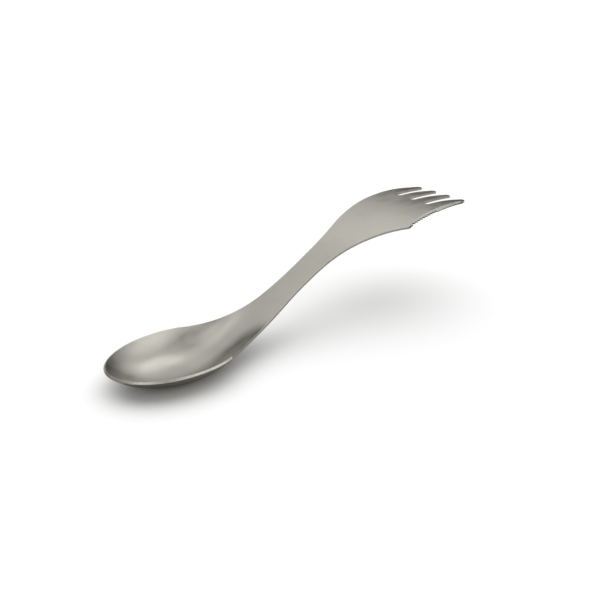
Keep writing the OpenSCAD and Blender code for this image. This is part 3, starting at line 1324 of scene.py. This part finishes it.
@dataclass(frozen=True)
class ViewPoint:
    """Where the camera stands, as a turn about the object, a height angle and a distance."""

    turn: float = math.radians(40.41)
    elevation: float = math.radians(24.11)
    distance: float = 0.3638
    lens: float = 54.09
    sensor: float = 36.0
    nearest: float = 0.01
    farthest: float = 50.0
    aim_from_middle: tuple = (0.00537, 0.00488, -0.01060)

    def place(self) -> bpy.types.Object:
        """Makes the scene's camera, aimed at a point near the middle of the CAD box.

        Returns:
            The camera.
        """
        aim = (cad_low + cad_high) / 2 + Vector(self.aim_from_middle)
        flat = math.cos(self.elevation)
        ahead = Vector((math.sin(self.turn) * flat, math.cos(self.turn) * flat, -math.sin(self.elevation)))
        data = bpy.data.cameras.new("camera")
        data.lens, data.sensor_width = self.lens, self.sensor
        data.clip_start, data.clip_end = self.nearest, self.farthest
        camera = bpy.data.objects.new("camera", data)
        bpy.context.scene.collection.objects.link(camera)
        camera.location = aim - ahead * self.distance
        camera.rotation_mode = "QUATERNION"
        camera.rotation_quaternion = ahead.to_track_quat("-Z", "Y")
        bpy.context.scene.camera = camera
        return camera


# Rows of soft lights round the object: height angle, then each light's heading and radiance.
# The radiances are the output of a least-squares fit in another program, not set by hand.
LIGHT_ROWS: dict[int, tuple] = {
    6: ((0, 0.69), (150, 0.28), (180, 0.77), (210, 0.67), (240, 0.29), (270, 0.11), (330, 0.16)),
    20: ((135, 0.21), (165, 0.79), (195, 0.89), (225, 0.48), (255, 0.14), (315, 0.10)),
    36: ((30, 0.57), (60, 0.64), (90, 0.43), (120, 0.64), (150, 0.61), (180, 0.55), (210, 0.61),
        (240, 0.15), (300, 0.24), (330, 0.28)),
    52: ((15, 0.61), (51, 0.97), (87, 0.33), (123, 0.62), (159, 0.83), (195, 0.25), (231, 0.65),
        (267, 0.17), (303, 0.23), (339, 0.87)),
    68: ((60, 0.48), (120, 0.34), (240, 0.50), (300, 1.27)),
    88: ((0, 0.21),),
}


@dataclass(frozen=True)
class LightDome:
    """A far shell of soft round lights that only the metal sees, as it would see softboxes."""

    radius: float = 5.0
    light_radius: float = math.radians(15.0)
    soft_edge: float = math.radians(2.5)
    top: float = 0.499 * math.pi
    turns: int = 144
    rows: int = 46

    def directions(self) -> np.ndarray:
        """Spreads the shell's vertices, row by row from the floor to the top.

        Returns:
            Their directions, as unit vectors.
        """
        heights = np.repeat(np.linspace(0.0, self.top, self.rows), self.turns)
        headings = np.tile(np.linspace(0.0, 2 * math.pi, self.turns, endpoint=False), self.rows)
        flat = np.cos(heights)
        return np.column_stack([np.sin(headings) * flat, np.cos(headings) * flat, np.sin(heights)])

    def radiance(self, directions: np.ndarray) -> np.ndarray:
        """Adds up the lights.

        Args:
            directions: Unit vectors towards the shell.

        Returns:
            The radiance that comes from each of them.
        """
        total = np.zeros(len(directions))
        for height, row in LIGHT_ROWS.items():
            for heading, strength in row:
                flat, turn = math.cos(math.radians(height)), math.radians(heading)
                centre = [math.sin(turn) * flat, math.cos(turn) * flat, math.sin(math.radians(height))]
                away = np.arccos(np.clip(directions @ centre, -1.0, 1.0))
                low, high = self.light_radius - self.soft_edge, self.light_radius + self.soft_edge
                total += strength * (1 - smooth(low, high, away))
        return total

    def build(self) -> bpy.types.Object:
        """Builds the shell, which lights nothing but gloss.

        Returns:
            The shell.
        """
        directions = self.directions()
        faces = []
        for row in range(self.rows - 1):
            for i in range(self.turns):
                a, b = row * self.turns + i, row * self.turns + (i + 1) % self.turns
                faces.append((a, b, b + self.turns, a + self.turns))
        faces.append(tuple(range((self.rows - 1) * self.turns, self.rows * self.turns)))
        mesh = bpy.data.meshes.new("light_dome")
        mesh.from_pydata((directions * self.radius).tolist(), [], faces)
        mesh.shade_smooth()
        lights = mesh.attributes.new("radiance", "FLOAT", "POINT")
        lights.data.foreach_set("value", self.radiance(directions).astype(np.float32))
        mesh.materials.append(self.glow())
        dome = bpy.data.objects.new("light_dome", mesh)
        bpy.context.scene.collection.objects.link(dome)
        dome.visible_camera = dome.visible_diffuse = dome.visible_shadow = False
        dome.visible_transmission = dome.visible_volume_scatter = False
        return dome

    def glow(self) -> bpy.types.Material:
        """Makes the shell's light, which is read from the mesh.

        Returns:
            The material.
        """
        material = bpy.data.materials.new("light_dome")
        material.use_nodes = True
        material.cycles.emission_sampling = "NONE"
        work = TreeWork(material.node_tree)
        work.tree.nodes.clear()
        glow = work.tree.nodes.new("ShaderNodeEmission")
        output = work.tree.nodes.new("ShaderNodeOutputMaterial")
        work.put(glow.inputs["Strength"], work.attribute("radiance"))
        work.put(output.inputs["Surface"], glow.outputs[0])
        return material


@dataclass(frozen=True)
class Studio:
    """Pale floor, a soft room that lights the floor, and a shell of lights for the metal."""

    floor_size: float = 12.0
    floor_colour: tuple = (0.90, 0.90, 0.90, 1.0)
    floor_in_metal: tuple = (0.36, 0.36, 0.33, 1.0)
    surround: tuple = (1.0, 1.0, 1.0, 1.0)
    surround_strength: float = 0.62
    backdrop_strength: float = 1.0
    overhead_from: tuple = (0.26, 0.31, 0.91)
    overhead_angle: float = math.radians(100.0)
    overhead_strength: float = 1.95

    def floor(self) -> bpy.types.Object:
        """Lays the floor, a plain sheet just under the object that is clear from below.

        Returns:
            The floor.
        """
        half = self.floor_size / 2
        corners = [(-half, -half, 0.0), (half, -half, 0.0), (half, half, 0.0), (-half, half, 0.0)]
        mesh = bpy.data.meshes.new("floor")
        mesh.from_pydata(corners, [], [(0, 1, 2, 3)])
        floor = bpy.data.objects.new("floor", mesh)
        bpy.context.scene.collection.objects.link(floor)
        material = bpy.data.materials.new("floor")
        material.use_nodes = True
        work = TreeWork(material.node_tree)
        nodes = work.tree.nodes
        nodes.clear()
        in_gloss = nodes.new("ShaderNodeLightPath").outputs["Is Glossy Ray"]
        diffuse = nodes.new("ShaderNodeBsdfDiffuse")
        colour = work.mix(MixKind.COLOUR, in_gloss, self.floor_colour, self.floor_in_metal)
        work.put(diffuse.inputs["Color"], colour)
        clear = nodes.new("ShaderNodeBsdfTransparent")
        side = nodes.new("ShaderNodeNewGeometry")
        mixed = nodes.new("ShaderNodeMixShader")
        output = nodes.new("ShaderNodeOutputMaterial")
        work.put(mixed.inputs[0], side.outputs["Backfacing"])
        work.put(mixed.inputs[1], diffuse.outputs[0])
        work.put(mixed.inputs[2], clear.outputs[0])
        work.put(output.inputs["Surface"], mixed.outputs[0])
        mesh.materials.append(material)
        return floor

    def surroundings(self) -> bpy.types.World:
        """Makes an even pale room that lights the floor but isn't seen in the metal.

        Returns:
            The world.
        """
        world = bpy.data.worlds.new("room")
        world.use_nodes = True
        work = TreeWork(world.node_tree)
        background = work.tree.nodes["Background"]
        background.inputs["Color"].default_value = self.surround
        seen = work.tree.nodes.new("ShaderNodeLightPath").outputs["Is Camera Ray"]
        strength = work.mix(MixKind.VALUE, seen, self.surround_strength, self.backdrop_strength)
        work.put(background.inputs["Strength"], strength)
        world.cycles_visibility.glossy = False
        bpy.context.scene.world = world
        return world

    def overhead(self) -> bpy.types.Object:
        """Hangs the wide light over the floor, which deepens the shadow under the object.

        Returns:
            The lamp.
        """
        data = bpy.data.lights.new("overhead", "SUN")
        data.angle, data.energy = self.overhead_angle, self.overhead_strength
        lamp = bpy.data.objects.new("overhead", data)
        bpy.context.scene.collection.objects.link(lamp)
        lamp.rotation_mode = "QUATERNION"
        lamp.rotation_quaternion = (-Vector(self.overhead_from)).to_track_quat("-Z", "Y")
        lamp.visible_glossy = False
        return lamp

    def set_up(self) -> None:
        """Builds the floor, the room and the lights."""
        self.floor()
        self.surroundings()
        self.overhead()
        LightDome().build()
        bpy.context.scene.view_settings.view_transform = "Standard"
        log.info("studio: floor, room, overhead light and %d rows of soft lights", len(LIGHT_ROWS))


@dataclass
class SpoonFork:
    """The whole object: nine regions of one sheet, in two finishes."""

    sheet: Sheet
    bevel: Bevel

    def regions(self) -> list:
        """Divides the sheet.

        Returns:
            Every region, from the bowl to the tines' tips.
        """
        sheet, plan = self.sheet, self.sheet.plan
        half_slot = plan.slot_w / 2
        first, second, third = plan.slot_ys
        root_width = float(plan.half_width(np.array(sheet.root_x)))
        bevel_y = float(self.bevel.inner_y(np.array(sheet.root_x)))
        return [
            Bowl(sheet, "bowl_shell", "bowl"),
            Strip(sheet, "neck_shell", "neck", start=sheet.rim_end, end=sheet.hollow_end),
            Strip(sheet, "handle_strip", "handle", start=sheet.hollow_end, end=sheet.head_start),
            ForkHead(sheet, "fork_head_plate", "fork_head", bevel=self.bevel),
            Tine(sheet, "outer_tine_plain", "tine_1",
                 low=first + half_slot, high=root_width, tip_y=12.8, back=0.9),
            Tine(sheet, "inner_tine_plain", "tine_2",
                 low=second + half_slot, high=first - half_slot, tip_y=5.2),
            Tine(sheet, "inner_tine_serrated", "tine_3",
                 low=third + half_slot, high=second - half_slot, tip_y=-2.8),
            GroundTine(sheet, "outer_tine_serrated", "tine_4", bevel=self.bevel,
                       low=bevel_y, high=third - half_slot, tip_y=-11.3, back=0.4, lean_in=0.2),
            KnifeEdge(sheet, "ground_edge", "knife_edge", slot="ground_titanium", bevel=self.bevel),
        ]

    def fit(self) -> None:
        """Builds and dresses every region."""
        groups = SurfaceGroups()
        finishes = {finish.name: finish.material(groups) for finish in (SatinTitanium(), GroundTitanium())}
        for region in self.regions():
            region.fit(finishes[region.slot])


def main() -> None:
    """Builds the camera, the object and the studio in order."""
    logging.basicConfig(level=logging.INFO, format="%(name)s: %(message)s")
    ViewPoint().place()
    sheet = Sheet()
    SpoonFork(sheet, Bevel(sheet)).fit()
    Studio().set_up()


if __name__ == "__main__":
    main()
